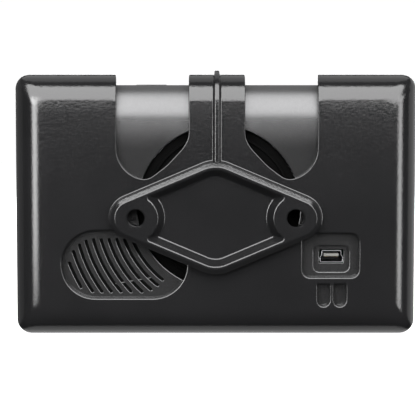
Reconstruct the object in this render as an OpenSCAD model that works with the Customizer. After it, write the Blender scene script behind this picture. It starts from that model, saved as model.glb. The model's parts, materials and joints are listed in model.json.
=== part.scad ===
// In-car screen unit clipped into its snap-in mounting cradle.
// X runs across the unit, +Y towards the driver's screen, +Z up.
// The origin is midway between the two mounting holes, on the face of their ears.

/* [Cradle] */
// Overall width of the cradle
cradle_w = 124.5; // [124:0.5:128]
// Overall height of the cradle
cradle_h = 80.9; // [80.5:0.1:83]
// Height of the mounting holes above the cradle's foot
holes_up = 36.7; // [36:0.1:37]
// Wall thickness of the cradle
wall = 2.2; // [2:0.1:2.4]
// Radius where the back turns into the sides
edge_r = 8.5; // [7.5:0.5:8.5]
// Radius of the four outline corners
corner_r = 4.5; // [4:0.5:5]
// Depth at which the side walls end
side_rim_y = 20; // [19:0.5:21]
// Width across both finger notches
notch_span = 61.7; // [60:0.1:66]
// Height of the notch floor above the mounting holes
notch_floor_z = 11.6; // [11:0.1:12.5]

/* [Mounting boss] */
// Distance between the two mounting holes
hole_spacing = 48.6; // [48:0.1:49]
// Diameter of the mounting holes
hole_d = 5.2; // [4.8:0.1:5.4]
// Height of the boss above the cradle's back
boss_h = 4; // [3.5:0.5:4.5]
// Radius of the ears at the foot of the boss
ear_r = 7.1; // [6.8:0.1:7.4]
// How far the centre of each ear's round end lies outside its hole
ear_out = 1.15; // [0.9:0.05:1.3]
// Radius of the upper and lower points of the diamond
point_r = 11; // [10:0.5:12]
// How far the boss's shoulder leans in from its wall to its crest
boss_draft = 1.9; // [1.5:0.1:2]
// How deep the boss's sloping shoulder goes before its wall turns straight back
boss_shoulder = 1.3; // [1:0.1:3]
// Depth of the pocket in the boss
pocket_depth = 2.8; // [2:0.2:3]

/* [Latch tongue] */
// Width of the latch tongue
tongue_w = 17.3; // [16:0.1:19]
// Height of the tongue's root above the mounting holes
tongue_root_z = 23.8; // [23:0.1:24.5]
// How far the tongue and its notches sit to one side of the boss
latch_x = 0.4; // [0:0.1:0.5]
// Thickness of the stiffening rib
rib_w = 1.7; // [1.2:0.1:2.2]

/* [Unit] */
// Gap between the unit and the cradle
fit_gap = 0.3; // [0.3:0.05:0.4]
// Gap between the unit's top and the cradle
top_gap = 1.1; // [0.9:0.1:1.2]
// Depth of the unit from back to glass
unit_d = 17.5; // [17.5:0.1:18]
// Wall thickness of the housing
skin = 1.8; // [1.6:0.1:2]
// Radius of the round docking recess
dock_r = 25; // [24:0.1:25.2]
// Number of speaker slots
slot_count = 10; // [6:1:10]
// Width of a speaker slot
slot_w = 0.95; // [0.7:0.05:1.1]
// Distance from slot to slot
slot_pitch = 2.32; // [2.2:0.01:2.4]

/* [Hidden] */
$fn = 64;
eps = 0.01;

// The cradle's levels
back_y = boss_h;
inner_y = back_y + wall;
foot_z = -holes_up;
top_z = cradle_h - holes_up;
cradle_mid_z = (top_z + foot_z) / 2;
lip_y = back_y + unit_d + wall + 2.3;
ear_x = hole_spacing / 2;
trap_y = 3;
boss_root = 1;

// The diamond of the boss: two ear circles and two point circles, joined by tangents
point_z = 6.5;
ear_end_x = ear_x + ear_out;
diamond_tilt = atan2(point_z, ear_end_x)
    + asin((point_r - ear_r) / sqrt(ear_end_x * ear_end_x + point_z * point_z));

// The unit's box
unit_w = cradle_w - 2 * (wall + fit_gap);
unit_bottom_z = foot_z + wall + fit_gap;
unit_top_z = top_z - wall - top_gap;
unit_h = unit_top_z - unit_bottom_z;
unit_mid_z = (unit_top_z + unit_bottom_z) / 2;
unit_y = inner_y + fit_gap;
glass_y = unit_y + unit_d;
split_y = unit_y + 10.5;
dock_c = [1, 3.1];
usb_c = [35.85, -12.2];
usb_recess_c = [35.75, -12.85];
usb_window_c = [35.3, -11.6];
slit_x = [33.2, 38.2];
slit_z = -25.45;
slit_r = 1.9;
speaker_c = [-28.1, -14.4];
driver_c = [-33, -14.4];
speaker_keep_r = dock_r + 1.1;
button_c = [-20, 14.8];
post_x = 52.3;
post_z = [-27, 33];

// The electronics' levels, from the back to the screen
board_y = 14.5;
board_t = 1.2;
board_front_y = board_y + board_t;
battery_y = 9.9;
frame_y = 17.7;
tray_y = 18.9;
tray_t = 2.9;
board_holes = [[-30, -27.5], [30, -27.5], [-10, 35.2], [26.5, 35.2]];

// ---- helpers ----

// A plate between two depths, cut to the outline given as its child
module plate(y0, y1) {
    translate([0, y1, 0]) rotate([90, 0, 0]) linear_extrude(y1 - y0) children();
}

// A box from two opposite corners
module block(a, b) {
    translate(a) cube(b - a);
}

// A round bar along Y
module bar_y(x, z, r, y0, y1) {
    translate([x, y0, z]) rotate([-90, 0, 0]) cylinder(r = r, h = y1 - y0);
}

module round_rect(w, h, r) {
    square([w - 2 * r, h], center = true);
    square([w, h - 2 * r], center = true);
    for (sx = [-1, 1], sz = [-1, 1])
        translate([sx * (w / 2 - r), sz * (h / 2 - r)]) circle(r);
}

module stadium(w, h) {
    square([w - h, h], center = true);
    for (s = [-1, 1]) translate([s * (w - h) / 2, 0]) circle(h / 2);
}

// A slice through a box whose two back edges are rounded
module back_rounded(w, y0, y1, r) {
    translate([-w / 2, y0 + r]) square([w, y1 - y0 - r]);
    translate([-w / 2 + r, y0]) square([w - 2 * r, r + 1]);
    for (s = [-1, 1]) translate([s * (w / 2 - r), y0 + r]) circle(r);
}

// A box with a rounded outline and rounded back edges that meet in mitres
module soft_box(w, h, y0, y1, round_r, outline_r) {
    intersection() {
        plate(y0, y1) round_rect(w, h, outline_r);
        translate([0, 0, -h]) linear_extrude(2 * h) back_rounded(w, y0, y1, round_r);
        translate([-w, 0, 0]) rotate([0, 90, 0]) linear_extrude(2 * w)
            back_rounded(h, y0, y1, round_r);
    }
}

// The diamond outline, drawn in by d
module diamond(d) {
    re = ear_r - d;
    rp = point_r - d;
    s = sin(diamond_tilt);
    c = cos(diamond_tilt);
    ear = [ear_end_x + re * s, re * c];
    tip = [rp * s, point_z + rp * c];
    polygon([ear, tip, [-tip[0], tip[1]], [-ear[0], ear[1]],
        -ear, -tip, [tip[0], -tip[1]], [ear[0], -ear[1]]]);
    for (k = [-1, 1]) {
        translate([k * ear_end_x, 0]) circle(re);
        translate([0, k * point_z]) circle(rp);
    }
}

// ---- cradle ----

// The cradle's plain tray before anything is cut from it
module cradle_tray() {
    translate([0, 0, cradle_mid_z]) difference() {
        soft_box(cradle_w, cradle_h, back_y, side_rim_y, edge_r, corner_r);
        soft_box(cradle_w - 2 * wall, cradle_h - 2 * wall, inner_y, side_rim_y + 5,
            edge_r - wall, corner_r - wall);
    }
}

// The opening between the side of the cradle and the tongue, on the +X side
module notch_outline() {
    low_r = 9.7;
    flare_z = tongue_root_z;
    out_x = notch_span / 2;
    in_x = tongue_w / 2;
    difference() {
        translate([in_x, notch_floor_z]) square([out_x - in_x, top_z - notch_floor_z + 5]);
        // rounded outer corner
        difference() {
            translate([out_x - low_r, notch_floor_z - 1]) square([low_r + 1, low_r + 1]);
            translate([out_x - low_r, notch_floor_z + low_r]) circle(low_r);
        }
        // flare that widens the tongue into the back
        polygon([[in_x - 1, flare_z], [in_x, flare_z], [12.2, 19.2], [15.6, 15.8],
            [19.6, 12.8], [22.2, notch_floor_z], [22.2, notch_floor_z - 1],
            [in_x - 1, notch_floor_z - 1]]);
    }
}

// The rib's outline seen from the side, from the boss up and over the top
module rib_outline() {
    rib_h = 1.3;
    rib_y = back_y - rib_h;
    bend_r = edge_r + rib_h;
    rib_top_z = top_z + rib_h;
    translate([rib_y, point_z + 10]) square([4, rib_top_z - bend_r - point_z - 10]);
    intersection() {
        translate([rib_y + bend_r, rib_top_z - bend_r]) circle(bend_r);
        translate([rib_y, rib_top_z - bend_r]) square([bend_r, bend_r]);
    }
    polygon([[rib_y + bend_r, top_z - 1], [rib_y + bend_r, rib_top_z],
        [rib_y + bend_r + 3, rib_top_z], [rib_y + bend_r + 6, top_z],
        [rib_y + bend_r + 6, top_z - 1]]);
}

module rib() {
    translate([latch_x - rib_w / 2, 0, 0]) rotate([90, 0, 90]) linear_extrude(rib_w) rib_outline();
}

module cradle_shell() {
    lip_x = 45;
    lip_rise = 2.2;
    color("#27282a") difference() {
        union() {
            difference() {
                cradle_tray();
                translate([latch_x, 0, 0]) {
                    for (k = [0, 1]) mirror([k, 0, 0])
                        plate(back_y - 5, side_rim_y + 5) notch_outline();
                    // the tongue is a piece of its own above its root
                    block([-tongue_w / 2 - 1, back_y - 5, tongue_root_z - 0.15],
                        [tongue_w / 2 + 1, side_rim_y + 5, top_z + 5]);
                }
                plate(back_y - 1, inner_y + 1) {
                    translate(speaker_c) stadium(38.5, 20.9);
                    translate(usb_window_c) round_rect(17.4, 13.6, 2.5);
                    for (x = slit_x) translate([x, slit_z]) {
                        circle(slit_r);
                        translate([-slit_r, 0]) square([2 * slit_r, 5]);
                    }
                }
            }
            // boss on the back, and the floor under it
            hull() {
                plate(boss_shoulder, back_y + boss_root) diamond(0);
                plate(0, eps) diamond(boss_draft);
            }
            plate(back_y + boss_root / 2, inner_y) diamond(0.2);
            intersection() {
                rib();
                block([-5, -1, point_z], [5, back_y + 1, tongue_root_z - 0.5]);
            }
            // foot that carries the unit, with a lip in front of its bezel
            block([-lip_x, side_rim_y - eps, foot_z], [lip_x, lip_y, foot_z + wall]);
            block([-lip_x, glass_y + fit_gap, foot_z], [lip_x, lip_y, foot_z + wall + lip_rise]);
        }
        // pocket between the two ears
        plate(-1, pocket_depth) difference() {
            diamond(boss_draft + 1.9);
            for (k = [-1, 1]) translate([k * ear_x, 0]) circle(7.75);
        }
        for (k = [-1, 1]) {
            bar_y(k * ear_x, 0, hole_d / 2, -1, inner_y + 1);
            // hexagonal pocket for a nut, from inside
            translate([k * ear_x, trap_y, 0]) rotate([-90, 0, 0])
                cylinder(r = 4.65, h = inner_y, $fn = 6);
        }
    }
}

module latch_tongue() {
    hook_y = glass_y - 0.4;
    hook_z = top_z - wall - 2.4;
    half = tongue_w / 2;
    color("#27282a") union() {
        difference() {
            union() {
                intersection() {
                    translate([latch_x - half, 0, cradle_mid_z]) rotate([0, 90, 0])
                        linear_extrude(tongue_w)
                        back_rounded(cradle_h, back_y, hook_y + 2, edge_r);
                    block([-cradle_w, 0, tongue_root_z + 0.15],
                        [cradle_w, hook_y + 3, top_z + 1]);
                }
                intersection() {
                    rib();
                    block([-5, -1, tongue_root_z + 0.65], [5, hook_y, top_z + 5]);
                }
            }
            translate([latch_x - half - 1, 0, cradle_mid_z]) rotate([0, 90, 0])
                linear_extrude(tongue_w + 2)
                back_rounded(cradle_h - 2 * wall, inner_y, hook_y + 5, edge_r - wall);
        }
        // hook that catches the top edge of the bezel
        translate([latch_x - half, 0, 0]) rotate([90, 0, 90]) linear_extrude(tongue_w)
            polygon([[hook_y, hook_z], [hook_y + 0.6, hook_z], [hook_y + 2, top_z - wall - 0.6],
                [hook_y + 2, top_z - wall + eps], [hook_y, top_z - wall + eps]]);
    }
}

// ---- housing ----

// The arc slots of the speaker, concentric with the docking recess
module speaker_slots() {
    tie_tilt = 9.5;
    first_r = 28.4;
    difference() {
        intersection() {
            translate([-30.2, -15]) stadium(30.9, 17);
            translate(dock_c) for (i = [0 : slot_count - 1]) difference() {
                circle(first_r + i * slot_pitch + slot_w / 2);
                circle(first_r + i * slot_pitch - slot_w / 2);
            }
        }
        // thin tie across the lower ends of the middle slots
        translate([-25.2, -19.7]) rotate(tie_tilt) square([11.5, 0.4], center = true);
    }
}

// The field behind the slots, kept clear of the docking recess
module speaker_field(d) {
    difference() {
        translate(speaker_c) stadium(38.2 - 2 * d, 19.2 - 2 * d);
        translate(dock_c) circle(speaker_keep_r + d);
    }
}

module rear_cover() {
    color("#4a4c4f") difference() {
        union() {
            translate([0, 0, unit_mid_z]) difference() {
                soft_box(unit_w, unit_h, unit_y, split_y, 6.2, 4);
                soft_box(unit_w - 2 * skin, unit_h - 2 * skin, unit_y + skin, split_y + 5,
                    6.2 - skin, 4 - skin);
            }
            for (x = [-post_x, post_x], z = post_z)
                bar_y(x, z, 3, unit_y + 1, split_y - 0.1);
        }
        bar_y(dock_c[0], dock_c[1], dock_r + 0.1, unit_y - 1, unit_y + skin + 1);
        plate(unit_y + 1, unit_y + skin + 1) speaker_field(0);
        plate(unit_y - 1, unit_y + 2) speaker_slots();
        // recess around the power socket, and the hole its shell shows through
        plate(unit_y - 1, unit_y + 1) translate(usb_recess_c) round_rect(11.1, 8.3, 1.9);
        plate(unit_y - 1, unit_y + skin + 1) translate(usb_c) square([7.7, 4.3], center = true);
        for (x = [-post_x, post_x], z = post_z) {
            bar_y(x, z, 2.3, unit_y - 1, unit_y + 3);
            bar_y(x, z, 1.05, unit_y, split_y + 1);
        }
        // opening for the power button
        block([button_c[0] - 5.3, button_c[1] - 1.7, unit_top_z - 4],
            [button_c[0] + 5.3, button_c[1] + 1.7, unit_top_z + 1]);
    }
}

module dock_plate() {
    floor_y = unit_y + 1.6;
    color("#141516") difference() {
        union() {
            bar_y(dock_c[0], dock_c[1], dock_r, floor_y, floor_y + 1.2);
            bar_y(dock_c[0], dock_c[1], 22.9, unit_y + 0.9, floor_y + eps);
            difference() {
                bar_y(dock_c[0], dock_c[1], 22.9, unit_y + 0.3, floor_y);
                bar_y(dock_c[0], dock_c[1], 21.9, unit_y, floor_y + 1);
            }
        }
        // keyways of the round coupling
        for (a = [90, 210, 330]) translate([dock_c[0], 0, dock_c[1]]) rotate([0, a, 0])
            block([12, unit_y, -2.5], [16, floor_y - 0.2, 2.5]);
    }
}

// Dust cloth and louvre plate pressed in behind the speaker slots
module speaker_grille() {
    color("#0c0c0d") plate(unit_y + 1.05, unit_y + skin - 0.05) speaker_field(0.15);
}

module front_bezel() {
    color("#111214") difference() {
        union() {
            translate([0, 0, unit_mid_z]) difference() {
                translate([0, split_y + 0.1 + glass_y, 0]) mirror([0, 1, 0])
                    soft_box(unit_w, unit_h, split_y + 0.1, glass_y, 3.5, 4);
                // room behind the ledge
                plate(split_y - 1, tray_y + tray_t + 0.1)
                    round_rect(unit_w - 2 * skin, unit_h - 2 * skin, 4 - skin);
                // ledge that the glass is taped to
                plate(split_y, glass_y + 1) round_rect(98, 57, 2);
                plate(glass_y - 1.3, glass_y + 1) round_rect(111.9, 67.7, 3);
            }
            // screw posts, each tied to the side wall by a web
            for (k = [0, 1], z = post_z) mirror([k, 0, 0]) {
                bar_y(post_x, z, 2.6, split_y + 0.1, tray_y + 1.5);
                block([post_x, split_y + 0.1, z - 0.6], [unit_w / 2 - 1, tray_y + 1.5, z + 0.6]);
            }
        }
        for (x = [-post_x, post_x], z = post_z)
            bar_y(x, z, 1.05, split_y, tray_y + 1);
        // slit for the touch ribbon
        block([53, tray_y, -6], [53.7, glass_y - 1.2, 6]);
    }
}

module touch_lens() {
    color("#08090a") translate([0, 0, unit_mid_z])
        plate(glass_y - 1.05, glass_y - 0.05) round_rect(111.6, 67.4, 2.9);
}

module lens_tape() {
    color("#1a1a1a") translate([0, 0, unit_mid_z]) plate(glass_y - 1.3, glass_y - 1.05)
        difference() {
            round_rect(111, 66.8, 2.7);
            round_rect(99, 58, 2.2);
        }
}

module lcd_panel() {
    color("#15181c") translate([0, 0, unit_mid_z])
        plate(tray_y + 1.5, tray_y + tray_t - 0.1) square([98.8, 61], center = true);
}

module lcd_backlight() {
    color("#e8ebee") translate([0, 0, unit_mid_z])
        plate(tray_y + 0.4, tray_y + 1.45) square([98.8, 61], center = true);
}

module lcd_tray() {
    color("#b5b8ba") translate([0, 0, unit_mid_z]) difference() {
        plate(tray_y, tray_y + tray_t) square([105.5, 67.2], center = true);
        plate(tray_y + 0.35, tray_y + tray_t + 1) square([99.2, 61.3], center = true);
        // cut-away corners that clear the screw posts
        for (sx = [-1, 1], z = post_z)
            plate(tray_y - 1, tray_y + tray_t + 1)
                translate([sx * post_x, z - unit_mid_z]) circle(2.9);
    }
}

// ---- inside ----

module mid_frame() {
    color("#8d9093") difference() {
        union() {
            plate(frame_y, frame_y + 0.9) translate([0, unit_mid_z])
                round_rect(98, 66, 3);
            for (p = board_holes) bar_y(p[0], p[1], 2, board_front_y, frame_y + eps);
        }
        for (p = board_holes) bar_y(p[0], p[1], 0.75, board_front_y - 1, frame_y + 2);
        for (x = [-28, 28]) plate(frame_y - 1, frame_y + 2)
            translate([x, unit_mid_z]) round_rect(30, 40, 4);
    }
}

module main_board() {
    color("#1d5a36") difference() {
        plate(board_y, board_front_y) translate([0, unit_mid_z]) round_rect(96, 67, 2);
        for (p = board_holes) bar_y(p[0], p[1], 1, board_y - 1, board_front_y + 1);
    }
}

module board_chips() {
    color("#1b1c1e") for (c = [[-22, 14, 12, 12], [-38, 14, 10, 12], [-22, -4, 9, 7],
        [30, 20, 7, 7], [34, 4, 5, 6], [10, -14, 6, 5]])
        translate([c[0] - c[2] / 2, board_front_y, c[1] - c[3] / 2])
            cube([c[2], 1.1, c[3]]);
}

module shield_can() {
    color("#c3c6c8") difference() {
        block([1, board_front_y, 4], [23, board_front_y + 1.6, 28]);
        block([1.3, board_front_y - 1, 4.3], [22.7, board_front_y + 1.3, 27.7]);
    }
}

module radar_antenna() {
    color("#e6e1d0") block([31.5, 9, 5], [46.5, 9.8, 33]);
}

module radar_patches() {
    rows = 6;
    color("#c98b4e") for (i = [0 : rows - 1], x = [35.2, 42.8])
        translate([x - 2.2, 8.9, 6.4 + i * 4.4]) cube([4.4, 0.1, 3]);
}

module radar_shield() {
    color("#bfc2c4") difference() {
        block([31.5, 9.8, 5], [46.5, 14.3, 33]);
        block([32, 10.6, 5.5], [46, 14.4, 32.5]);
    }
}

module gps_patch() {
    color("#d8cfb4") block([-45, 9.4, 17], [-27, 13.4, 35]);
}

module gps_base() {
    color("#c3c6c8") block([-45.2, 13.4, 16.8], [-26.8, 14.4, 35.2]);
}

module antenna_coax() {
    coax_y = 12;
    coax_z = 33.85;
    color("#2a2a2c") {
        translate([-26.9, coax_y, coax_z]) rotate([0, 90, 0]) cylinder(r = 0.6, h = 50.4);
        bar_y(23.5, coax_z - 1.2, 1.4, coax_y - 0.6, 14.4);
    }
}

module battery_cell() {
    color("#8f9498") translate([3, 0, 15.6]) plate(battery_y, 14.1) round_rect(44, 29, 2.6);
}

module battery_tape() {
    color("#d9d6cf") block([-14, 14.1, 6], [20, 14.45, 27]);
}

module battery_lead() {
    color("#a61f1f") for (z = [5, 7]) translate([-24, 12.8, z]) rotate([0, 90, 0])
        cylinder(r = 0.55, h = 5);
}

module battery_plug() {
    color("#ece8dd") block([-28.5, 11.4, 3.5], [-24, 14.4, 8.5]);
}

module speaker_gasket() {
    color("#2b2b2b") translate([driver_c[0], 0, driver_c[1]])
        plate(unit_y + skin, unit_y + skin + 0.5) difference() {
            stadium(26, 18);
            stadium(23, 15);
        }
}

module speaker_cone() {
    color("#2f3133") translate([driver_c[0], 0, driver_c[1]]) {
        plate(9.5, 9.9) stadium(22, 14);
        plate(9.2, 9.5) stadium(12, 8);
    }
}

module speaker_frame() {
    color("#5c5f62") translate([driver_c[0], 0, driver_c[1]]) difference() {
        plate(8.8, 12) stadium(26, 18);
        plate(8, 11.2) stadium(23, 15);
    }
}

module speaker_magnet() {
    color("#9da0a3") translate([driver_c[0], 0, driver_c[1]])
        plate(12, 14.3) stadium(15, 11);
}

// The socket's mouth: a box that narrows above its shoulders
module usb_mouth(grow) {
    half = 3.65 + grow;
    narrow = 3.1 + grow;
    polygon([[-half, -1.95 - grow], [half, -1.95 - grow], [half, -0.35],
        [narrow, 0.55], [narrow, 1.9 + grow], [-narrow, 1.9 + grow],
        [-narrow, 0.55], [-half, -0.35]]);
}

module usb_shell() {
    color("#d5d8da") translate([usb_c[0], 0, usb_c[1]]) difference() {
        plate(unit_y + 0.8, board_y - 0.05) usb_mouth(0);
        plate(unit_y, board_y - 0.6) usb_mouth(-0.3);
    }
}

module usb_tongue() {
    color("#cfcac0") translate([usb_c[0], 0, usb_c[1]])
        block([-2.4, unit_y + 1.4, -0.1], [2.4, board_y - 0.65, 0.95]);
}

module usb_contacts() {
    color("#d8b25a") translate([usb_c[0], 0, usb_c[1]]) for (i = [-2 : 2])
        block([i * 0.8 - 0.17, unit_y + 1.6, -0.22], [i * 0.8 + 0.17, board_y - 0.7, -0.1]);
}

module power_button() {
    color("#2c2d30") union() {
        block([button_c[0] - 5, button_c[1] - 1.4, unit_top_z - 3.3],
            [button_c[0] + 5, button_c[1] + 1.4, unit_top_z + 0.2]);
        block([button_c[0] - 6.2, button_c[1] - 2, unit_top_z - 3.3],
            [button_c[0] + 6.2, button_c[1] + 2, unit_top_z - 2.3]);
    }
}

module power_switch() {
    color("#3a3b3d") {
        block([button_c[0] - 3, 12.7, 33.8], [button_c[0] + 3, board_y, 36.3]);
        block([button_c[0] - 1, 13, 36.3], [button_c[0] + 1, 14.3, 36.8]);
    }
}

module housing_screws() {
    color("#7d8083") for (x = [-post_x, post_x], z = post_z) difference() {
        union() {
            bar_y(x, z, 2.1, unit_y + 1.6, unit_y + 3);
            bar_y(x, z, 1, unit_y + 3 - eps, tray_y + 0.5);
        }
        translate([x, unit_y + 1, z]) rotate([-90, 0, 0]) cylinder(r = 1, h = 1.4, $fn = 6);
    }
}

module board_screws() {
    color("#7d8083") for (p = board_holes) difference() {
        union() {
            bar_y(p[0], p[1], 1.6, board_y - 1.1, board_y);
            bar_y(p[0], p[1], 0.7, board_y - eps, frame_y + 0.5);
        }
        translate([p[0], board_y - 1.6, p[1]]) rotate([-90, 0, 0])
            cylinder(r = 0.7, h = 1, $fn = 6);
    }
}

module display_ribbon() {
    color("#c8872f") {
        block([-9, board_front_y, -30.6], [9, tray_y + 1, -30.45]);
        block([-9, board_front_y, -30.45], [9, board_front_y + 0.15, -25]);
    }
}

module touch_ribbon() {
    color("#c8872f") {
        block([53.2, board_front_y, -5], [53.35, glass_y - 1.35, 5]);
        block([43, board_front_y, -5], [53.2, board_front_y + 0.15, 5]);
    }
}

cradle_shell();
latch_tongue();
rear_cover();
dock_plate();
speaker_grille();
front_bezel();
touch_lens();
lens_tape();
lcd_panel();
lcd_backlight();
lcd_tray();
mid_frame();
main_board();
board_chips();
shield_can();
radar_antenna();
radar_patches();
radar_shield();
gps_patch();
gps_base();
antenna_coax();
battery_cell();
battery_tape();
battery_lead();
battery_plug();
speaker_gasket();
speaker_cone();
speaker_frame();
speaker_magnet();
usb_shell();
usb_tongue();
usb_contacts();
power_button();
power_switch();
housing_screws();
board_screws();
display_ribbon();
touch_ribbon();
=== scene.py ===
import bmesh
import bpy
import json
import math
from math import cos, pi, radians, sin
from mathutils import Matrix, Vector, geometry


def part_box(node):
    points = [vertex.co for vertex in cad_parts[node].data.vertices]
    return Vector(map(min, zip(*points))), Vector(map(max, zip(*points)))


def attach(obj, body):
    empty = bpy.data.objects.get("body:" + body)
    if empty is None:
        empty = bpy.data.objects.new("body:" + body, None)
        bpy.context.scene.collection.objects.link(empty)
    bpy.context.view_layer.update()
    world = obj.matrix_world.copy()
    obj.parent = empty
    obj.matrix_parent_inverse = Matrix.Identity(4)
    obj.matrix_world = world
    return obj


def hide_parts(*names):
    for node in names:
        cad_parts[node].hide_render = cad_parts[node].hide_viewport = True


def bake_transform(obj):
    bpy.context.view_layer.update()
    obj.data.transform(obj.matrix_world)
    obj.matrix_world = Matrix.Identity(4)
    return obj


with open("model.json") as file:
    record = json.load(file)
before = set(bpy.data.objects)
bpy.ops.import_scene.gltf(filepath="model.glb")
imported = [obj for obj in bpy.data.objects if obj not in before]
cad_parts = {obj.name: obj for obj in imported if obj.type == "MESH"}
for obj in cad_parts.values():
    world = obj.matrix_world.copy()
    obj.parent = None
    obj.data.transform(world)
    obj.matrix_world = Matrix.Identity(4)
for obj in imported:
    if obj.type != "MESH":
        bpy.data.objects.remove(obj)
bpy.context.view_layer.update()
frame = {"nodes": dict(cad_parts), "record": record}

# Lengths below are in millimetres in the part's own frame: X across, +Y towards the screen, +Z up.
# Points are turned into metres when a mesh is made.
MM = 0.001


# ---- camera ----

def add(name, data):
    ob = bpy.data.objects.new(name, data)
    bpy.context.scene.collection.objects.link(ob)
    return ob


def aim(ob, place, back):
    """Puts a camera or a light at a place and turns it away from back."""
    ob.location = place
    ob.rotation_mode = "QUATERNION"
    ob.rotation_quaternion = (-back).to_track_quat("-Z", "Y")


def make_camera():
    """A long lens behind the cradle, a little above its middle."""
    tilt, distance = radians(3), 0.364
    target = Vector((-2.498, 4.0, 3.127)) * MM
    back = Vector((0, -cos(tilt), sin(tilt)))
    cam = bpy.data.cameras.new("camera")
    cam.sensor_width = 36
    cam.lens = 103.13
    cam.clip_start, cam.clip_end = 0.01, 20
    ob = add("camera", cam)
    aim(ob, target + back * distance, back)
    bpy.context.scene.camera = ob


make_camera()
bpy.context.scene.view_settings.view_transform = "Standard"
bpy.context.scene.view_settings.look = "None"


# ---- mesh tools ----

WELD = 3e-6  # points closer than this, in metres, are one
SMALL = 8e-7  # a face of less area than this, in square metres, belongs to a rounded edge


class Shape:
    """Points and faces in millimetres, welded and turned outward when built."""

    def __init__(self):
        self.v, self.f = [], []

    def points(self, pts):
        n = len(self.v)
        self.v += [tuple(p) for p in pts]
        return list(range(n, len(self.v)))

    def face(self, ids):
        self.f.append(tuple(ids))

    def strip(self, a, b, closed=False):
        n = len(a)
        for i in range(n if closed else n - 1):
            j = (i + 1) % n
            self.face((a[i], a[j], b[j], b[i]))

    def rings(self, rings, closed=False):
        made = [self.points(r) for r in rings]
        for a, b in zip(made, made[1:]):
            self.strip(a, b, closed)
        return made

    def fill(self, loops, place, step=3.0):
        """Triangles between closed loops of plane points, the holes left open."""
        pts, edges = [], []
        for loop in loops:
            n, k = len(pts), len(loop)
            pts += [(p[0], p[1]) for p in loop]
            edges += [(n + i, n + (i + 1) % k) for i in range(k)]
        if step:
            lo = [min(p[i] for p in pts) for i in (0, 1)]
            hi = [max(p[i] for p in pts) for i in (0, 1)]
            rim = list(pts)
            for i in range(1, int((hi[0] - lo[0]) / step) + 1):
                for j in range(1, int((hi[1] - lo[1]) / step) + 1):
                    q = (lo[0] + i * step, lo[1] + j * step)
                    if within(q, loops) and all(
                        (q[0] - p[0]) ** 2 + (q[1] - p[1]) ** 2 > (0.55 * step) ** 2 for p in rim
                    ):
                        pts.append(q)
        out = geometry.delaunay_2d_cdt([Vector(p) for p in pts], edges, [], 0, 1e-5, True)
        ids = self.points([place(p[0], p[1]) for p in out[0]])
        for f in inside(out, loops):
            self.face([ids[i] for i in f])

    def cap(self, loops, y, step=3.0):
        """A level face at depth y."""
        self.fill(loops, lambda a, b: (a, y, b), step)

    def close(self, ids, flat_pts):
        """Triangles over one ring of points, given as they lie in their plane."""
        for tri in geometry.tessellate_polygon([[Vector((a, b, 0)) for a, b in flat_pts]]):
            self.face([ids[i] for i in tri])

    def build(self, name, body, slot, replaces=(), sharp=42, blend=None):
        mesh = bpy.data.meshes.new(name)
        mesh.from_pydata([(x * MM, y * MM, z * MM) for x, y, z in self.v], [], self.f)
        bm = bmesh.new()
        bm.from_mesh(mesh)
        bmesh.ops.remove_doubles(bm, verts=bm.verts, dist=WELD)
        bmesh.ops.dissolve_degenerate(bm, dist=1e-6, edges=bm.edges)
        bmesh.ops.delete(bm, geom=[v for v in bm.verts if not v.link_faces], context="VERTS")
        bmesh.ops.recalc_face_normals(bm, faces=bm.faces)
        # the flats keep their own normal where they meet a small rounded edge
        level = {f: abs(f.normal.y) > 0.99999 for f in bm.faces}
        flats = [i for i, e in enumerate(bm.edges) if len(e.link_faces) == 2
                 and level[e.link_faces[0]] != level[e.link_faces[1]]
                 and min(f.calc_area() for f in e.link_faces if not level[f]) < SMALL]
        bm.to_mesh(mesh)
        bm.free()
        mesh.polygons.foreach_set("use_smooth", [True] * len(mesh.polygons))
        mesh.set_sharp_from_angle(angle=radians(sharp))
        for i in flats:
            mesh.edges[i].use_edge_sharp = True
        ob = add(name, mesh)
        mesh.materials.append(material(slot))
        even = ob.modifiers.new("even", "WEIGHTED_NORMAL")
        even.keep_sharp = True
        if blend:
            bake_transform(ob)
        else:
            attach(ob, body)
        if replaces:
            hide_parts(*replaces)
        return ob


def inside(out, loops):
    """The triangles between the loops. A sliver on a straight edge goes with its neighbour."""
    verts, tris = out[0], out[2]
    rim = {frozenset(e) for e, made_from in zip(out[1], out[4]) if made_from}
    keep, thin, beside = [], [], {}
    for i, f in enumerate(tris):
        a, b, c = (verts[k] for k in f)
        longest = max((b - a).length, (c - b).length, (a - c).length)
        thin.append(abs((b - a).cross(c - a)) < 1e-4 * longest)
        keep.append(not thin[i] and within([(a[k] + b[k] + c[k]) / 3 for k in (0, 1)], loops))
        for j in range(3):
            beside.setdefault(frozenset((f[j], f[j - 1])), []).append(i)
    for _ in range(3):
        for i, f in enumerate(tris):
            if thin[i] and not keep[i]:
                keep[i] = any(keep[k] for j in range(3) for k in beside[frozenset((f[j], f[j - 1]))]
                              if k != i and frozenset((f[j], f[j - 1])) not in rim)
    return [f for f, k in zip(tris, keep) if k]


def within(q, loops):
    """Whether a plane point lies inside an odd number of loops."""
    odd = False
    for loop in loops:
        x0, z0 = loop[-1][0], loop[-1][1]
        for p in loop:
            x1, z1 = p[0], p[1]
            if (z0 > q[1]) != (z1 > q[1]) and q[0] < x0 + (q[1] - z0) * (x1 - x0) / (z1 - z0):
                odd = not odd
            x0, z0 = x1, z1
    return odd


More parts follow.
